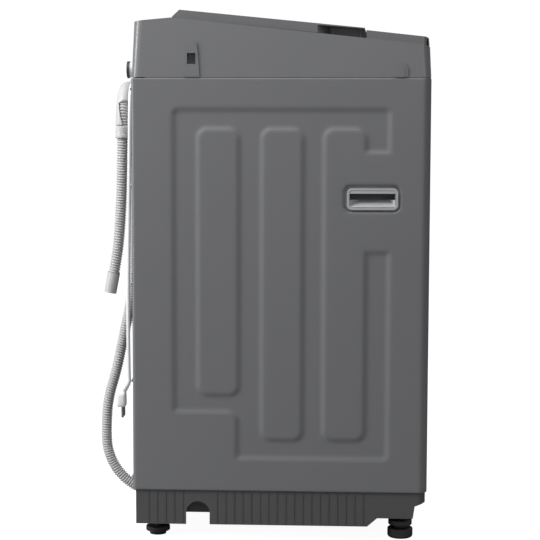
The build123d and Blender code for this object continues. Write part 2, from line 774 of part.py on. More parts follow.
def drain_spout():
    """The elbow from the pump's outlet to the hose, through the base's rear notch."""
    spout = rod_y_axis(9, 222.2, 250, pump_x, 42)
    tilt_start = (pump_x, 243, 30.6)
    spout += rod_between(9, tilt_start, hose_start)
    return spout & block((-80, -40), (200, 270), (31.2, 60))


def cord_gland():
    """The cord's outlet: a block on the rear fold with a tapered strain relief."""
    body = block((223, 247), (265.1, 276), (770, 802))
    return body + rod_between(5.6, (235, 271, 771), cord_route[0], 4.2)


def cord_clips():
    """Two clips that hold the cord in the strip under the top frame."""
    clips = []
    for x in (118, -196):
        clip = block((x - 5, x + 5), (264.2, 274.6), (816.4, 827.6))
        clips.append(clip - rod_x_axis(cord_radius + 0.5, x - 6, x + 6, cord_strip_y, cord_strip_z - 0.4))
    return Compound(children=clips)


def power_plug():
    """The plug's body under its tapered strain relief."""
    relief = rod_between(4.2, cord_route[-1], plug_collar) + Pos(*plug_collar) * Sphere(4.2)
    relief += rod_between(4.2, plug_collar, plug_neck, 5) + Pos(*plug_neck) * Sphere(5)
    relief += rod_between(5, plug_neck, plug_top, 6.5)
    body = block((-253, -227), (279, 295.5), (240, 268))
    body = fillet(body.edges().filter_by(Axis.Z), 5)
    return relief + body


def plug_pins():
    """The two round pins."""
    pins = [rod(2.4, 221, 239.9, (-240 + offset, 284.5)) for offset in (-9, 9)]
    return Compound(children=pins)


def main():
    os.makedirs("parts", exist_ok=True)
    save("cabinet_shell", cabinet_shell())
    save("rear_panel", rear_panel())
    save("rear_access_cover", rear_access_cover())
    save("rear_screws", rear_screws())
    save("base_skirt", base_skirt())
    save("rear_feet", Compound(children=[rear_foot(-1), rear_foot(1)]))
    save("foot_lock_nuts", Compound(children=[lock_nut(-1), lock_nut(1)]))
    save("front_foot_left", front_foot(-1))
    save("front_foot_right", front_foot(1))
    save("top_frame", top_frame())
    save("screw_covers", both_sides(screw_cover()))
    save("lid_frame", lid_frame())
    save("lid_glass", lid_glass())
    save("hinge_pins", hinge_pins())
    save("control_panel", control_panel())
    save("display_window", display_window())
    save("control_board", control_board())
    for name, (x, radius) in button_places.items():
        save(name, button(x, radius))
    save("handle_cup_left", handle_cup())
    save("handle_cup_right", mirror(handle_cup(), Plane.YZ))
    save("inlet_valve", inlet_valve())
    save("inlet_nozzle", inlet_nozzle())
    save("inlet_cap", inlet_cap())
    save("detergent_housing", detergent_housing())
    save("detergent_drawer", detergent_drawer())
    save("lid_lock", lid_lock())
    save("corner_brackets", corner_brackets())
    save("suspension_rods", suspension_rods())
    save("suspension_springs", suspension_springs())
    save("outer_tub", outer_tub())
    save("tub_cover", tub_cover())
    save("gear_case", gear_case())
    save("motor_bracket", motor_bracket())
    save("motor_housing", motor_housing())
    save("drive_pulley", drive_pulley())
    save("motor_pulley", motor_pulley())
    save("drive_belt", drive_belt())
    save("drain_bellows", drain_bellows())
    save("basket_drum", basket_drum())
    save("basket_base", basket_base())
    save("balance_ring", balance_ring())
    save("lint_filters", lint_filters())
    save("pulsator", pulsator())
    save("pulsator_shaft", pulsator_shaft())
    save("pump_housing", pump_housing())
    save("pump_impeller", pump_impeller())
    save("pump_motor", pump_motor())
    save("drain_spout", drain_spout())
    save("drain_hose", soft_tube("drain_hose", hose_rise + hose_over + hose_fall, hose_radius))
    save("hose_guide", hose_guide())
    save("hose_cuff", hose_cuff())
    save("hose_bracket", hose_bracket())
    save("cord_gland", cord_gland())
    save("cord_clips", cord_clips())
    save("power_cord", soft_tube("power_cord", cord_route, cord_radius))
    save("power_plug", power_plug())
    save("plug_pins", plug_pins())


main()
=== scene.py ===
"""Looks of the top load washing machine, in metres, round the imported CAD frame."""
import json
import math

import bmesh
import bpy
from mathutils import Matrix, Vector


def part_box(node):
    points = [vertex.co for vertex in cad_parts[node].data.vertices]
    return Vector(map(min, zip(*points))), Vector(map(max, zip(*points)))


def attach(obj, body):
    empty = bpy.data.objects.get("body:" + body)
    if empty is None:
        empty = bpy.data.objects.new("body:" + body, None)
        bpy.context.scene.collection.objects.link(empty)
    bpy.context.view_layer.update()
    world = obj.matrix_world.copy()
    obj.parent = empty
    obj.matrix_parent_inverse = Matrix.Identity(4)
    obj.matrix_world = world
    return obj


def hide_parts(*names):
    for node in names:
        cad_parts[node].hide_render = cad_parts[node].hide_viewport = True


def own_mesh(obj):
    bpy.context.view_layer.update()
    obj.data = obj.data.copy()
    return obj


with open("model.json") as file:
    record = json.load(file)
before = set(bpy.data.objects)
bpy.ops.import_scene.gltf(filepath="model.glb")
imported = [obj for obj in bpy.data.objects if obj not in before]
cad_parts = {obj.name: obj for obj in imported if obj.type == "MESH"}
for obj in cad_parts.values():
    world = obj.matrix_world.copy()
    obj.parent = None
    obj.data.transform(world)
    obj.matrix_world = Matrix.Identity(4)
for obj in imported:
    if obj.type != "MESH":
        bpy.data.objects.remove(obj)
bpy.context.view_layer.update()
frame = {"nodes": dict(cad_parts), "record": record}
MM = 0.001


# ---------------------------------------------------------------- camera

SHIFT_Y = -7 * MM  # the cabinet's middle lies this far in front of the origin
camera_place = Vector((-2.9118, -0.1072 + SHIFT_Y, 0.7325))
camera_pitch = math.radians(5.19)
camera_yaw = math.radians(2.70)
camera_roll = math.radians(0.15)
camera_lens = 100  # millimetres
sensor_width = 36  # millimetres
view_reach = 200


def make_camera():
    """The photograph's view: level with the upper cabinet, square on to the left side."""
    forward = Vector((math.cos(camera_pitch) * math.cos(camera_yaw),
                      math.cos(camera_pitch) * math.sin(camera_yaw), -math.sin(camera_pitch)))
    right = forward.cross(Vector((0, 0, 1))).normalized()
    up = right.cross(forward)
    turn = Matrix((right, up, -forward)).transposed()
    roll = Matrix.Rotation(camera_roll, 3, "Z")
    data = bpy.data.cameras.new("camera")
    data.lens = camera_lens
    data.sensor_width = sensor_width
    data.clip_end = view_reach
    camera = bpy.data.objects.new("camera", data)
    camera.matrix_world = Matrix.Translation(camera_place) @ (turn @ roll).to_4x4()
    bpy.context.collection.objects.link(camera)
    bpy.context.scene.camera = camera


make_camera()


# ---------------------------------------------------------------- materials

finishes = {}
noise_low = 0.3  # a noise's values lie mostly between these two
noise_high = 0.7
least_roughness = 0.02
roughness_scale = 7  # roughness patches are this many times finer than colour patches
coat_roughness = 0.18
glass_index = 1.5
glass_drift = 0.02
glass_patch = 30


def new_material(name):
    """A new node material, with its node tree and its shader."""
    material = bpy.data.materials.new(name)
    material.use_nodes = True
    tree = material.node_tree
    shader = tree.nodes["Principled BSDF"]
    return material, tree, shader


def add_node(tree, kind, **values):
    """A node with some of its inputs set by name."""
    node = tree.nodes.new(kind)
    for key, value in values.items():
        node.inputs[key].default_value = value
    return node


def shade(color, factor):
    """The colour made lighter or darker."""
    return tuple(min(1, channel * factor) for channel in color[:3]) + (1,)


def mottled(tree, shader, color, coordinates, scale, spread):
    """Slow colour variation of a given spread round the base colour."""
    noise = add_node(tree, "ShaderNodeTexNoise", Scale=scale, Detail=4, Roughness=0.55)
    ramp = tree.nodes.new("ShaderNodeValToRGB")
    ramp.color_ramp.elements[0].position = noise_low
    ramp.color_ramp.elements[1].position = noise_high
    ramp.color_ramp.elements[0].color = shade(color, 1 - spread)
    ramp.color_ramp.elements[1].color = shade(color, 1 + spread)
    tree.links.new(coordinates, noise.inputs["Vector"])
    tree.links.new(noise.outputs["Fac"], ramp.inputs["Fac"])
    tree.links.new(ramp.outputs["Color"], shader.inputs["Base Color"])


def varied_roughness(tree, shader, coordinates, roughness, spread, scale):
    """Roughness that drifts over the surface, as handling and moulding leave it."""
    noise = add_node(tree, "ShaderNodeTexNoise", Scale=scale, Detail=3, Roughness=0.6)
    reach = add_node(tree, "ShaderNodeMapRange")
    reach.inputs["From Min"].default_value = noise_low
    reach.inputs["From Max"].default_value = noise_high
    reach.inputs["To Min"].default_value = max(least_roughness, roughness - spread)
    reach.inputs["To Max"].default_value = roughness + spread
    tree.links.new(coordinates, noise.inputs["Vector"])
    tree.links.new(noise.outputs["Fac"], reach.inputs["Value"])
    tree.links.new(reach.outputs["Result"], shader.inputs["Roughness"])


def grained(tree, shader, coordinates, scale, depth, stretch):
    """A fine relief, depth deep in metres."""
    mapping = tree.nodes.new("ShaderNodeMapping")
    mapping.inputs["Scale"].default_value = stretch
    noise = add_node(tree, "ShaderNodeTexNoise", Scale=scale, Detail=2, Roughness=0.5)
    bump = add_node(tree, "ShaderNodeBump", Strength=1.0, Distance=depth)
    tree.links.new(coordinates, mapping.inputs["Vector"])
    tree.links.new(mapping.outputs["Vector"], noise.inputs["Vector"])
    tree.links.new(noise.outputs["Fac"], bump.inputs["Height"])
    tree.links.new(bump.outputs["Normal"], shader.inputs["Normal"])


def surface(name, color, roughness, spread, patch, grain, depth, metallic=0.0, coat=0.0,
            stretch=(1, 1, 1), drift=0.05):
    """A procedural finish: drifting colour, drifting roughness and a fine relief."""
    material, tree, shader = new_material(name)
    coordinates = tree.nodes.new("ShaderNodeTexCoord").outputs["Object"]
    mottled(tree, shader, color, coordinates, patch, spread)
    varied_roughness(tree, shader, coordinates, roughness, drift, patch * roughness_scale)
    grained(tree, shader, coordinates, grain, depth, stretch)
    shader.inputs["Metallic"].default_value = metallic
    shader.inputs["Specular IOR Level"].default_value = 0.5
    shader.inputs["Coat Weight"].default_value = coat
    shader.inputs["Coat Roughness"].default_value = coat_roughness
    finishes[name] = material


def smoked_glass(name, color, roughness, transmission):
    """Dark tempered glass."""
    material, tree, shader = new_material(name)
    coordinates = tree.nodes.new("ShaderNodeTexCoord").outputs["Object"]
    varied_roughness(tree, shader, coordinates, roughness, glass_drift, glass_patch)
    shader.inputs["Base Color"].default_value = color
    shader.inputs["Transmission Weight"].default_value = transmission
    shader.inputs["IOR"].default_value = glass_index
    finishes[name] = material


def grey(level, tint=(1.0, 1.0, 1.0)):
    """A linear colour from a display level of 0 to 255, with a slight tint."""
    value = level / 255
    linear = ((value + 0.055) / 1.055) ** 2.4
    return tuple(linear * channel for channel in tint) + (1,)


COOL = (0.985, 0.995, 1.03)

# name, colour, roughness, colour spread, patch scale, grain scale, grain depth
surface("panel_paint", grey(110, COOL), 0.40, 0.012, 3, 650, 0.00002, coat=0.12, drift=0.03)
surface("top_plastic", grey(112, COOL), 0.36, 0.012, 4, 1500, 0.00001, coat=0.5, drift=0.04)
surface("lid_plastic", grey(108, COOL), 0.36, 0.012, 4, 1500, 0.00001, coat=0.5, drift=0.04)
surface("base_plastic", grey(76, COOL), 0.55, 0.04, 14, 1100, 0.00005)
surface("handle_plastic", grey(170, COOL), 0.42, 0.015, 10, 1300, 0.00002)
smoked_glass("smoked_glass", (0.08, 0.085, 0.09, 1), 0.04, 0.92)
surface("display", (0.008, 0.008, 0.01, 1), 0.12, 0.05, 8, 500, 0.000004, coat=0.6)
surface("key_plastic", grey(170, COOL), 0.32, 0.02, 60, 1800, 0.00001, coat=0.2)
surface("board", (0.02, 0.10, 0.04, 1), 0.45, 0.15, 40, 400, 0.0001)
surface("galvanised", (0.46, 0.47, 0.48, 1), 0.38, 0.10, 25, 120, 0.00002, metallic=0.9)
surface("stainless", (0.60, 0.60, 0.60, 1), 0.26, 0.04, 8, 60, 0.00002, metallic=1.0,
        stretch=(1, 1, 40))
surface("cover_plastic", grey(70, COOL), 0.50, 0.04, 9, 1000, 0.00005)
surface("tub_plastic", grey(208), 0.45, 0.02, 7, 900, 0.00004)
surface("white_plastic", grey(232), 0.40, 0.015, 12, 1100, 0.00002)
surface("foot_rubber", grey(46, COOL), 0.70, 0.10, 50, 700, 0.00012)
surface("black_plastic", grey(50, COOL), 0.50, 0.08, 40, 900, 0.00006)
surface("hose_plastic", grey(187), 0.46, 0.03, 30, 900, 0.00003)
surface("cord_plastic", grey(232), 0.42, 0.015, 40, 900, 0.00002)
surface("pin_metal", (0.30, 0.29, 0.27, 1), 0.30, 0.05, 60, 300, 0.00001, metallic=1.0)
surface("casting", (0.42, 0.43, 0.44, 1), 0.48, 0.08, 20, 500, 0.00015, metallic=0.9)
surface("bellows_rubber", grey(48), 0.62, 0.08, 30, 600, 0.00008)
surface("motor_metal", grey(58, COOL), 0.45, 0.06, 20, 400, 0.00006)
surface("drive_steel", (0.42, 0.42, 0.43, 1), 0.34, 0.06, 25, 200, 0.00003, metallic=1.0)

slot_of = {part["node"]: part["material_slot"] for part in frame["record"]["subparts"]}


def finish_piece(piece, slot, body):
    """Give a new piece its finish and the body that it moves with."""
    piece.data.materials.clear()
    piece.data.materials.append(finishes[slot])
    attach(piece, body)


def link_mesh(name, vertices, faces):
    """A linked object from a list of points and faces, with outward normals."""
    mesh = bpy.data.meshes.new(name)
    mesh.from_pydata(vertices, [], faces)
    work = bmesh.new()
    work.from_mesh(mesh)
    bmesh.ops.recalc_face_normals(work, faces=work.faces)
    work.to_mesh(mesh)
    work.free()
    mesh.shade_smooth()
    piece = bpy.data.objects.new(name, mesh)
    bpy.context.collection.objects.link(piece)
    return piece


def ring_faces(rings, segments, closed=False):
    """The faces between rings of points that follow each other, back to the first if closed."""
    faces = []
    for ring in range(rings if closed else rings - 1):
        low = ring * segments
        high = (ring + 1) % rings * segments
        for step in range(segments):
            after = (step + 1) % segments
            faces.append((low + step, low + after, high + after, high + step))
    return faces


def end_caps(points, segments):
    """The two faces that close the first and the last ring."""
    return [tuple(range(segments)), tuple(range(points - segments, points))]


def circle_points(frame_at, radius, segments):
    """The points of a circle across a line, at one of its frames."""
    point, side, across = frame_at
    turns = [2 * math.pi * step / segments for step in range(segments)]
    return [point + (side * math.cos(turn) + across * math.sin(turn)) * radius for turn in turns]


# ---------------------------------------------------------------- hose and cord

hose_radius = 11 * MM
cord_radius = 3.5 * MM
hose_route = [
    (-60, 260.5, 38), (-60, 293.6, 52.1), (-60, 325.5, 82.4), (-60, 343.1, 122.7), (-60, 343.9, 168.7),
    (-59.5, 340.5, 222), (-59, 323, 279), (-58, 311, 338), (-57, 291, 428), (-55, 287.5, 520),
    (-54, 288, 615), (-53.5, 289, 710), (-53.3, 289.8, 792.6), (-106.65, 291.4, 823.4),
    (-160, 293, 792.6), (-160.6, 294.3, 720), (-161.2, 296, 640), (-161.4, 299.5, 570),
    (-161, 304.5, 515), (-160.5, 312, 476)]
cord_route = [
    (235, 271, 742), (236.5, 270.6, 670), (240, 270.8, 585), (243, 271.2, 500), (244, 271.5, 430),
    (203.5, 272, 406.5), (163, 271.5, 430), (163.5, 271, 505), (165.5, 270.2, 600), (166, 269.8, 700),
    (165, 269.6, 799.4), (142.4, 269.5, 822), (55, 269.4, 820.8), (-37, 269.5, 820.2),
    (-130, 269.4, 820.9), (-217.4, 269.3, 822), (-240, 269.1, 799.4), (-240.6, 270, 715),
    (-240.2, 271.6, 620), (-240.5, 273.4, 520), (-240, 274.6, 430), (-240.4, 274.6, 350),
    (-240, 273.8, 289)]


def route_curve(name, route):
    """A smooth curve with the route's points, given about the cabinet's middle in millimetres."""
    curve = bpy.data.curves.new(name, "CURVE")
    curve.dimensions = "3D"
    curve.resolution_u = 16
    spline = curve.splines.new("NURBS")
    spline.points.add(len(route) - 1)
    for point, (x, y, z) in zip(spline.points, route):
        point.co = (x * MM, y * MM + SHIFT_Y, z * MM, 1)
    spline.order_u = 3
    spline.use_endpoint_u = True
    piece = bpy.data.objects.new(name, curve)
    bpy.context.collection.objects.link(piece)
    return piece


def curve_points(curve):
    """The points along a curve that has no bevel."""
    bpy.context.view_layer.update()
    graph = bpy.context.evaluated_depsgraph_get()
    mesh = bpy.data.meshes.new_from_object(curve.evaluated_get(graph))
    points = [vertex.co.copy() for vertex in mesh.vertices]
    bpy.data.meshes.remove(mesh)
    return points


def resample(points, step):
    """Evenly spaced points along a line."""
    reach = [0.0]
    for before, after in zip(points, points[1:]):
        reach.append(reach[-1] + (after - before).length)
    count = max(2, round(reach[-1] / step))
    even = []
    place = 0
    for number in range(count + 1):
        target = reach[-1] * number / count
        while place < len(points) - 2 and reach[place + 1] < target:
            place += 1
        share = (target - reach[place]) / (reach[place + 1] - reach[place])
        even.append(points[place].lerp(points[place + 1], min(1, share)))
    return even


def ring_frames(points):
    """For each point, two directions across the line that never twist about it."""
    side = None
    frames = []
    for place, point in enumerate(points):
        ahead = points[min(place + 1, len(points) - 1)] - points[max(place - 1, 0)]
        ahead.normalize()
        if side is None:
            side = ahead.orthogonal().normalized()
        side = (side - ahead * side.dot(ahead)).normalized()
        frames.append((point, side, ahead.cross(side)))
    return frames


def mesh_tube(name, points, radius_at, segments):
    """A closed tube round a line, with a radius for each place on it."""
    vertices = []
    for number, frame_at in enumerate(ring_frames(points)):
        vertices += circle_points(frame_at, radius_at(number), segments)
    faces = ring_faces(len(points), segments) + end_caps(len(vertices), segments)
    return link_mesh(name, vertices, faces)


rib_pitch = 4.8 * MM
rib_depth = 2.7 * MM
rings_per_rib = 6
hose_sides = 20


def points_along(route, step):
    """Evenly spaced points along a route's smooth curve."""
    line = route_curve("line", route)
    points = resample(curve_points(line), step)
    bpy.data.objects.remove(line)
    return points


def drain_hose():
    """The corrugated hose, as one tube whose radius rises and falls along it."""
    points = points_along(hose_route, rib_pitch / rings_per_rib)

    def radius_at(number):
        wave = math.cos(2 * math.pi * number / rings_per_rib)
        return hose_radius - rib_depth * (0.5 - 0.5 * wave)

    hose = mesh_tube("corrugated_hose", points, radius_at, hose_sides)
    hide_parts("drain_hose")
    finish_piece(hose, "hose_plastic", "cabinet")
    return points


def power_cord():
    """The mains lead, from the gland round its hanging loop to the plug."""
    cord = route_curve("mains_lead", cord_route)
    cord.data.bevel_depth = cord_radius
    cord.data.bevel_resolution = 4
    cord.data.use_fill_caps = True
    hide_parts("power_cord")
    finish_piece(cord, "cord_plastic", "cabinet")


hose_points = drain_hose()
power_cord()


# ---------------------------------------------------------------- hose guide

def partial_tube(name, points, radius, half_angle_at, columns):
    """An open channel round a line: its wall is centred on the rear side and spans both ways."""
    vertices = []
    for number, point in enumerate(points):
        ahead = (points[min(number + 1, len(points) - 1)] - points[max(number - 1, 0)]).normalized()
        rear = Vector((0, 1, 0))
        rear = (rear - ahead * rear.dot(ahead)).normalized()
        across = ahead.cross(rear)
        half_angle = half_angle_at(number)
        for column in range(columns + 1):
            angle = half_angle * (2 * column / columns - 1)
            vertices.append(point + (rear * math.cos(angle) + across * math.sin(angle)) * radius)
    faces = []
    for ring in range(len(points) - 1):
        for column in range(columns):
            low = ring * (columns + 1) + column
            high = low + columns + 1
            faces.append((low, low + 1, high + 1, high))
    return link_mesh(name, vertices, faces)


def sleeve_round(name, points, outer_at, inner, segments):
    """A short closed sleeve round a line, with an outer radius for each place on it."""
    frames = ring_frames(points)
    rings = [(frame_at, outer_at(number)) for number, frame_at in enumerate(frames)]
    rings += [(frame_at, inner) for frame_at in reversed(frames)]
    vertices = []
    for frame_at, radius in rings:
        vertices += circle_points(frame_at, radius, segments)
    return link_mesh(name, vertices, ring_faces(len(rings), segments, closed=True))


guide_radius = 13 * MM
arch_foot_z = 788 * MM
channel_foot_z = 746 * MM
sleeve_foot_z = 722 * MM
guide_wall = 1.5 * MM
guide_sides = 32
arch_stride = 4  # the guide's rings lie this many of the hose's points apart
sleeve_stride = 2
# degrees that the guide's wall reaches round the hose, to each side
closed_wrap = 179
rising_wrap = 110
falling_wrap = 52
falling_growth = 48
narrowing = 2500
sleeve_rounding = 0.6 * MM
lip_height = 0.5 * MM
lip_rings = 6
sleeve_play = 0.2 * MM


def hose_guide(points):
    """The arched guide with its open legs, and the sleeve with a lip on the falling leg."""
    top = max(range(len(points)), key=lambda number: points[number].z)
    arch = [number for number in range(len(points)) if points[number].z > channel_foot_z]
    arch = arch[::arch_stride]
    line = [points[number] for number in arch]

    def half_angle_at(number):
        place = line[number]
        if place.z > arch_foot_z:
            return math.radians(closed_wrap)
        share = (arch_foot_z - place.z) / (arch_foot_z - channel_foot_z)
        if arch[number] < top:
            return math.radians(rising_wrap)
        narrow = falling_wrap + falling_growth * share ** 1.5
        return math.radians(max(narrow, closed_wrap - narrowing * share))

    channel = partial_tube("hose_arch", line, guide_radius, half_angle_at, guide_sides)
    wall = channel.modifiers.new("wall", "SOLIDIFY")
    wall.thickness = guide_wall
    wall.offset = -1
    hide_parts("hose_guide")
    finish_piece(channel, "hose_plastic", "cabinet")
    below = [point for number, point in enumerate(points)
             if number > top and sleeve_foot_z < point.z < channel_foot_z]
    below = below[::sleeve_stride]

    def outer_at(number):
        if number in (0, len(below) - 1):
            return guide_radius - sleeve_rounding
        return guide_radius + (lip_height if number > len(below) - lip_rings else 0)

    sleeve = sleeve_round("hose_sleeve", below, outer_at, hose_radius + sleeve_play, guide_sides)
    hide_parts("hose_guide")
    finish_piece(sleeve, "hose_plastic", "cabinet")


hose_guide(hose_points)


# ---------------------------------------------------------------- suspension springs

spring_outer = 13 * MM
spring_wire = 1.9 * MM
spring_turns = 8
rings_per_turn = 18
wire_sides = 10


def suspension_spring(name, x, y, foot, top):
    """One coil spring round its rod."""
    coil = spring_outer - spring_wire
    rings = spring_turns * rings_per_turn
    line = []
    for ring in range(rings + 1):
        angle = 2 * math.pi * ring / rings_per_turn
        height = foot + spring_wire + (top - foot - 2 * spring_wire) * ring / rings
        line.append(Vector((x + coil * math.cos(angle), y + coil * math.sin(angle), height)))
    spring = mesh_tube(name, line, lambda number: spring_wire, wire_sides)
    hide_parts("suspension_springs")
    finish_piece(spring, "drive_steel", "cabinet")
    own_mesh(spring)


def suspension():
    """A spring at each of the four rods."""
    low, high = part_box("suspension_springs")
    for side, x in (("left", low[0] + spring_outer), ("right", high[0] - spring_outer)):
        for end, y in (("front", low[1] + spring_outer), ("rear", high[1] - spring_outer)):
            suspension_spring(f"spring_{side}_{end}", x, y, low[2], high[2])


suspension()


# ---------------------------------------------------------------- stage and light

floor_reach = 40
floor_colour = (0.3, 0.3, 0.3, 1)
floor_glow = 0.95
surround_light = 0.3
surround_shown = 1.02
white = (1, 1, 1, 1)
lights = {  # each light's place, aim, size and watts
    "key": ((-1.3, 2.0, 2.6), (-0.26, 0.1, 0.8), (0.9, 0.9), 60),
    "top": ((-0.9, 0.2, 2.5), (-0.1, 0, 0.8), (1.8, 1.8), 26),
    "rear_strip": ((-0.95, 2.7, 1.0), (-0.25, 0.24, 0.85), (0.6, 1.9), 38),
    "front_glint": ((-2.58, -1.15, 1.05), (-0.25, -0.25, 0.9), (0.4, 0.09), 1.2),
}


def seen_only(tree, lighting, shown):
    """One strength for the light that reaches other things and another for what the camera sees."""
    path = tree.nodes.new("ShaderNodeLightPath")
    reach = tree.nodes.new("ShaderNodeMapRange")
    reach.inputs["To Min"].default_value = lighting
    reach.inputs["To Max"].default_value = shown
    tree.links.new(path.outputs["Is Camera Ray"], reach.inputs["Value"])
    return reach.outputs["Result"]


def make_floor():
    """A plain pale floor that reaches past the view."""
    quarters = ((-1, -1), (1, -1), (1, 1), (-1, 1))
    corners = [(x * floor_reach, y * floor_reach, 0) for x, y in quarters]
    floor = link_mesh("floor", corners, [(0, 1, 2, 3)])
    material, tree, shader = new_material("floor")
    coordinates = tree.nodes.new("ShaderNodeTexCoord").outputs["Object"]
    mottled(tree, shader, floor_colour, coordinates, 0.5, 0.01)
    shader.inputs["Roughness"].default_value = 0.9
    shader.inputs["Specular IOR Level"].default_value = 0.1
    shader.inputs["Emission Color"].default_value = white
    tree.links.new(seen_only(tree, 0, floor_glow), shader.inputs["Emission Strength"])
    floor.data.materials.append(material)


def make_world():
    """A white studio surround that lights less than it shows."""
    world = bpy.data.worlds.new("studio")
    bpy.context.scene.world = world
    world.use_nodes = True
    tree = world.node_tree
    background = tree.nodes["Background"]
    tree.links.new(seen_only(tree, surround_light, surround_shown), background.inputs["Strength"])
    background.inputs["Color"].default_value = white


def area_light(name, place, target, size, power):
    """A soft rectangular light aimed at a point."""
    data = bpy.data.lights.new(name, "AREA")
    data.shape = "RECTANGLE"
    data.size = size[0]
    data.size_y = size[1]
    data.energy = power
    light = bpy.data.objects.new(name, data)
    light.location = place
    light.rotation_euler = (Vector(target) - Vector(place)).to_track_quat("-Z", "Y").to_euler()
    bpy.context.collection.objects.link(light)


make_floor()
make_world()
for light_name, settings in lights.items():
    area_light(light_name, *settings)
bpy.context.scene.view_settings.view_transform = "Standard"


# ---------------------------------------------------------------- cabinet

cabinet_low, cabinet_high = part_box("cabinet_shell")
half_width = cabinet_high.x
front_radius = 16 * MM
rear_radius = 6 * MM
fold_half = 235 * MM
sheet = 0.8 * MM
press_depth = 3 * MM
press_slope = 9 * MM
press_radius = 13 * MM
mesh_step = 4 * MM
handle_hole = ((-210.9, -114.4), (596, 641))
hole_radius = 11 * MM
edge_roll = 1.6 * MM
edge_steps = 4
hole_roll = 1.5 * MM
front_steps = 10
rear_steps = 6
front_spacing = 40 * MM
pressed_field = ((-196.5, 194), (147, 779))
raised_islands = [
    ((81.5, 260), (80, 231)), ((-260, -120), (527, 696.5)), ((78.4, 142.6), (269.6, 737.5)),
    ((-35.5, 28.6), (188.6, 737)), ((-147, -81.6), (189.4, 737))]
probe = 0.1 * MM
search_steps = 6


def rounded_distance(y, z, box, radius):
    """Distance to a rounded rectangle given in millimetres, negative inside."""
    (low_y, high_y), (low_z, high_z) = box
    half_y = (high_y - low_y) / 2 * MM
    half_z = (high_z - low_z) / 2 * MM
    off_y = abs(y - (low_y + high_y) / 2 * MM) - half_y + radius
    off_z = abs(z - (low_z + high_z) / 2 * MM) - half_z + radius
    outside = math.hypot(max(off_y, 0), max(off_z, 0))
    return outside + min(max(off_y, off_z), 0) - radius


def press_at(y, z):
    """How deep the side is pressed in at a place, given about the cabinet's middle."""
    field = rounded_distance(y, z, pressed_field, press_radius)
    for island in raised_islands:
        field = max(field, -rounded_distance(y, z, island, press_radius))
    share = min(1, max(0, -field / press_slope))
    return press_depth * share * share * (3 - 2 * share)


def spaced(low, high, step):
    """Values from low to high about a step apart."""
    count = max(1, round((high - low) / step))
    return [low + (high - low) * number / count for number in range(count + 1)]


def plan_corner(middle, radius, quarter, steps):
    """A quarter turn of the plan about a corner's middle, by which quarter of the circle it is."""
    turn = []
    for step in range(steps + 1):
        angle = math.pi / 2 * (quarter + step / steps)
        across = (math.cos(angle), math.sin(angle))
        turn.append((middle[0] + radius * across[0], middle[1] + radius * across[1],
                     -across[0], -across[1], 0))
    return turn


def plan_line():
    """The cabinet's plan as (x, y, inward x, inward y, side) from the left fold round to the right."""
    low_y = cabinet_low.y
    high_y = cabinet_high.y
    line = [(-x, high_y, 0, -1, 0) for x in (fold_half, (fold_half + half_width - rear_radius) / 2)]
    corner = (-half_width + rear_radius, high_y - rear_radius)
    line += plan_corner(corner, rear_radius, 1, rear_steps)
    for y in reversed(spaced(low_y + front_radius, high_y - rear_radius, mesh_step)[1:-1]):
        line.append((-half_width, y, 1, 0, 1))
    corner = (-half_width + front_radius, low_y + front_radius)
    line += plan_corner(corner, front_radius, 2, front_steps)
    for x in spaced(-half_width + front_radius, 0, front_spacing)[1:]:
        line.append((x, low_y, 0, 1, 0))
    mirrored = [(-x, y, -inward_x, inward_y, side)
                for x, y, inward_x, inward_y, side in reversed(line[:-1])]
    return line + mirrored


def onto_hole(y, z):
    """The nearest point on the handle opening's edge, by steps down the distance field."""
    for _ in range(search_steps):
        gap = rounded_distance(y, z, handle_hole, hole_radius)
        slope_y = rounded_distance(y + probe, z, handle_hole, hole_radius) - gap
        slope_z = rounded_distance(y, z + probe, handle_hole, hole_radius) - gap
        size = math.hypot(slope_y, slope_z) or 1
        y -= gap * slope_y / size
        z -= gap * slope_z / size
    return y, z


def skin_rows():
    """The skin's heights, each with how far its rolled edge turns in there."""
    quarters = [math.pi / 2 * step / edge_steps for step in range(1, edge_steps + 1)]
    turns = [(edge_roll * math.sin(turn), edge_roll * (1 - math.cos(turn))) for turn in quarters]
    rows = [(cabinet_low.z + edge_roll - up, inward) for up, inward in reversed(turns)]
    rows += [(z, 0) for z in spaced(cabinet_low.z + edge_roll, cabinet_high.z - edge_roll, mesh_step)]
    rows += [(cabinet_high.z - edge_roll + up, inward) for up, inward in turns]
    return rows


def skin_cells(line, rows):
    """The cells of the skin that no handle opening takes out."""
    cells = []
    for place in range(len(line) - 1):
        middle_y = (line[place][1] + line[place + 1][1]) / 2 - SHIFT_Y
        on_side = line[place][4] and line[place + 1][4]
        for row in range(len(rows) - 1):
            middle_z = (rows[row][0] + rows[row + 1][0]) / 2
            if on_side and rounded_distance(middle_y, middle_z, handle_hole, hole_radius) < 0:
                continue
            cells.append((place, row))
    return cells


def skin_points(line, rows, cells):
    """The skin's points, pressed in on the sides and drawn to the edges of the openings."""
    kept = set(cells)
    vertices = []
    for place, (x, y, inward_x, inward_y, side) in enumerate(line):
        for row, (z, inward) in enumerate(rows):
            around = [(place - 1, row - 1), (place - 1, row), (place, row - 1), (place, row)]
            touching = sum(cell in kept for cell in around)
            depth = inward + (press_at(y - SHIFT_Y, z) if side else 0)
            point_y, point_z = y, z
            if side and 0 < row < len(rows) - 1 and 0 < touching < 4:
                point_y, point_z = onto_hole(y - SHIFT_Y, z)
                point_y += SHIFT_Y
                depth = hole_roll
            vertices.append((x + inward_x * depth, point_y + inward_y * depth, point_z))
    return vertices


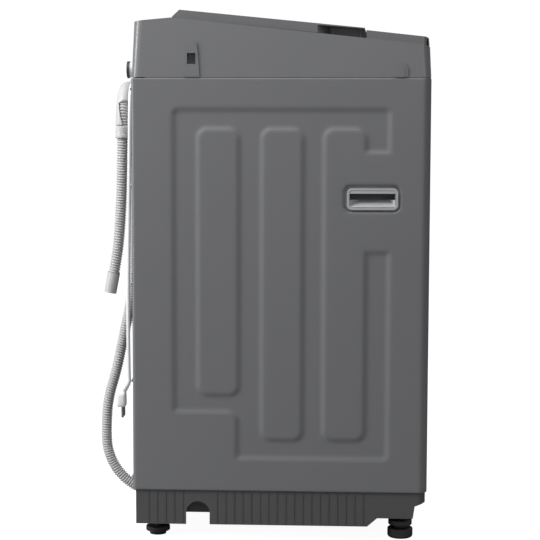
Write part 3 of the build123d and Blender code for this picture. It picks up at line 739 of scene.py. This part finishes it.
def cabinet_skin():
    """The folded and pressed sheet, with rolled edges at its top, its foot and the handle openings."""
    line = plan_line()
    rows = skin_rows()
    count = len(rows)
    cells = skin_cells(line, rows)
    faces = []
    for place, row in cells:
        low = place * count + row
        faces.append((low, low + 1, low + count + 1, low + count))
    mesh = bpy.data.meshes.new("cabinet_skin")
    mesh.from_pydata(skin_points(line, rows, cells), [], faces)
    work = bmesh.new()
    work.from_mesh(mesh)
    loose = [vertex for vertex in work.verts if not vertex.link_faces]
    bmesh.ops.delete(work, geom=loose, context="VERTS")
    work.to_mesh(mesh)
    work.free()
    mesh.shade_smooth()
    skin = bpy.data.objects.new("cabinet_skin", mesh)
    bpy.context.collection.objects.link(skin)
    thicken = skin.modifiers.new("sheet", "SOLIDIFY")
    thicken.thickness = sheet
    thicken.offset = 1
    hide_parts("cabinet_shell")
    finish_piece(skin, "panel_paint", "cabinet")


cabinet_skin()


# ---------------------------------------------------------------- basket and plug

drum_radius = 205 * MM
drum_columns = 48
drum_rows = 15
hole_size = 2.2 * MM
holed_low = 332 * MM
holed_high = 692 * MM
weld_distance = 0.02 * MM


def basket_wall():
    """The basket's steel wall, rolled from sheet with rows of drain holes."""
    low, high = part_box("basket_drum")
    middle_y = (low.y + high.y) / 2
    vertices = []
    faces = []

    def on_wall(around, z):
        angle = around / drum_radius
        vertices.append((drum_radius * math.cos(angle), middle_y + drum_radius * math.sin(angle), z))
        return len(vertices) - 1

    wide = 2 * math.pi * drum_radius / drum_columns
    tall = (holed_high - holed_low) / drum_rows
    rim = [(-1, -1), (0, -1), (1, -1), (1, 0), (1, 1), (0, 1), (-1, 1), (-1, 0)]
    for column in range(drum_columns):
        for row in range(drum_rows):
            around = (column + 0.5) * wide
            z = holed_low + (row + 0.5) * tall
            outer = [on_wall(around + u * wide / 2, z + v * tall / 2) for u, v in rim]
            inner = []
            for u, v in rim:
                reach = hole_size / math.hypot(u, v)
                inner.append(on_wall(around + u * reach, z + v * reach))
            for step in range(len(rim)):
                after = (step + 1) % len(rim)
                faces.append((outer[step], outer[after], inner[after], inner[step]))
        for start, end in ((low.z, holed_low), (holed_high, high.z)):
            for half in range(2):
                left = (column + half / 2) * wide
                faces.append((on_wall(left, start), on_wall(left + wide / 2, start),
                              on_wall(left + wide / 2, end), on_wall(left, end)))
    wall = link_mesh("basket_wall", vertices, faces)
    work = bmesh.new()
    work.from_mesh(wall.data)
    bmesh.ops.remove_doubles(work, verts=work.verts, dist=weld_distance)
    bmesh.ops.recalc_face_normals(work, faces=work.faces)
    work.to_mesh(wall.data)
    work.free()
    thicken = wall.modifiers.new("sheet", "SOLIDIFY")
    thicken.thickness = sheet
    thicken.offset = -1
    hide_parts("basket_drum")
    finish_piece(wall, "stainless", "basket")


basket_wall()


def squared(value):
    """A cosine or sine drawn out towards a square's side."""
    return math.copysign(abs(value) ** 0.5, value)


def rounded_section(half_x, half_y, segments):
    """Points round a rounded rectangle about the origin."""
    turns = [2 * math.pi * step / segments for step in range(segments)]
    return [(half_x * squared(math.cos(turn)), half_y * squared(math.sin(turn))) for turn in turns]


plug_middle = (-240, 287.2)
# each section's height and its half widths
plug_sections = [(267.8, 6.6, 5.4), (266.8, 9.0, 6.8), (264.5, 11.6, 7.8), (260, 12.6, 8.1),
                 (250, 12.9, 8.2), (244, 12.9, 8.2), (241, 12.3, 7.8), (240.1, 11.2, 7.0)]
plug_sides = 40
relief_line = [(-240, 273.8, 289), (-240, 273.7, 284.5), (-240, 277.5, 278), (-240, 285, 267.2)]
relief_step = 0.35 * MM
relief_radius = 4.1 * MM
relief_swell = 2.2 * MM
relief_notch = 0.9 * MM
relief_rings = 5
relief_plain = (0.15, 0.95)  # no ring lies before or after these shares of the relief
relief_sides = 24


def plug():
    """The plug: a moulded body with rounded shoulders, and a ringed strain relief above it."""
    vertices = []
    for z, half_x, half_y in plug_sections:
        for x, y in rounded_section(half_x, half_y, plug_sides):
            vertices.append(((plug_middle[0] + x) * MM, (plug_middle[1] + y) * MM + SHIFT_Y, z * MM))
    faces = end_caps(len(vertices), plug_sides) + ring_faces(len(plug_sections), plug_sides)
    body = link_mesh("plug_body", vertices, faces)
    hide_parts("power_plug")
    finish_piece(body, "cord_plastic", "cabinet")
    points = points_along(relief_line, relief_step)

    def radius_at(number):
        share = number / (len(points) - 1)
        ringed = relief_plain[0] < share < relief_plain[1]
        notched = ringed and math.sin(share * 2 * math.pi * relief_rings) > 0.2
        return relief_radius + relief_swell * share - (relief_notch if notched else 0)

    relief = mesh_tube("plug_relief", points, radius_at, relief_sides)
    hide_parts("power_plug")
    finish_piece(relief, "cord_plastic", "cabinet")


plug()


# ---------------------------------------------------------------- CAD nodes

sharp_angle = math.radians(35)
bevels = {  # millimetres
    "top_frame": 0.7, "lid_frame": 1.0, "control_panel": 1.0, "base_skirt": 0.7,
    "handle_cup_left": 0.5, "handle_cup_right": 0.5, "rear_access_cover": 1.2,
    "inlet_nozzle": 0.5, "screw_covers": 0.3, "detergent_drawer": 0.8, "detergent_housing": 0.8,
    "inlet_valve": 1.5, "hose_bracket": 0.8, "cord_clips": 0.6, "cord_gland": 1.0,
    "pulsator": 1.5, "tub_cover": 1.0, "outer_tub": 1.0, "motor_housing": 1.5, "gear_case": 1.5,
    "rear_panel": 0.5, "lint_filters": 0.8,
}


def soften(piece, width):
    """Round a moulding's sharp edges by a width in millimetres."""
    bevel = piece.modifiers.new("edges", "BEVEL")
    bevel.width = width * MM
    bevel.segments = 2
    bevel.limit_method = "ANGLE"
    bevel.angle_limit = sharp_angle
    bevel.harden_normals = True


for node, piece in frame["nodes"].items():
    piece.data.materials.clear()
    piece.data.materials.append(finishes[slot_of[node]])
    if node in bevels:
        soften(piece, bevels[node])
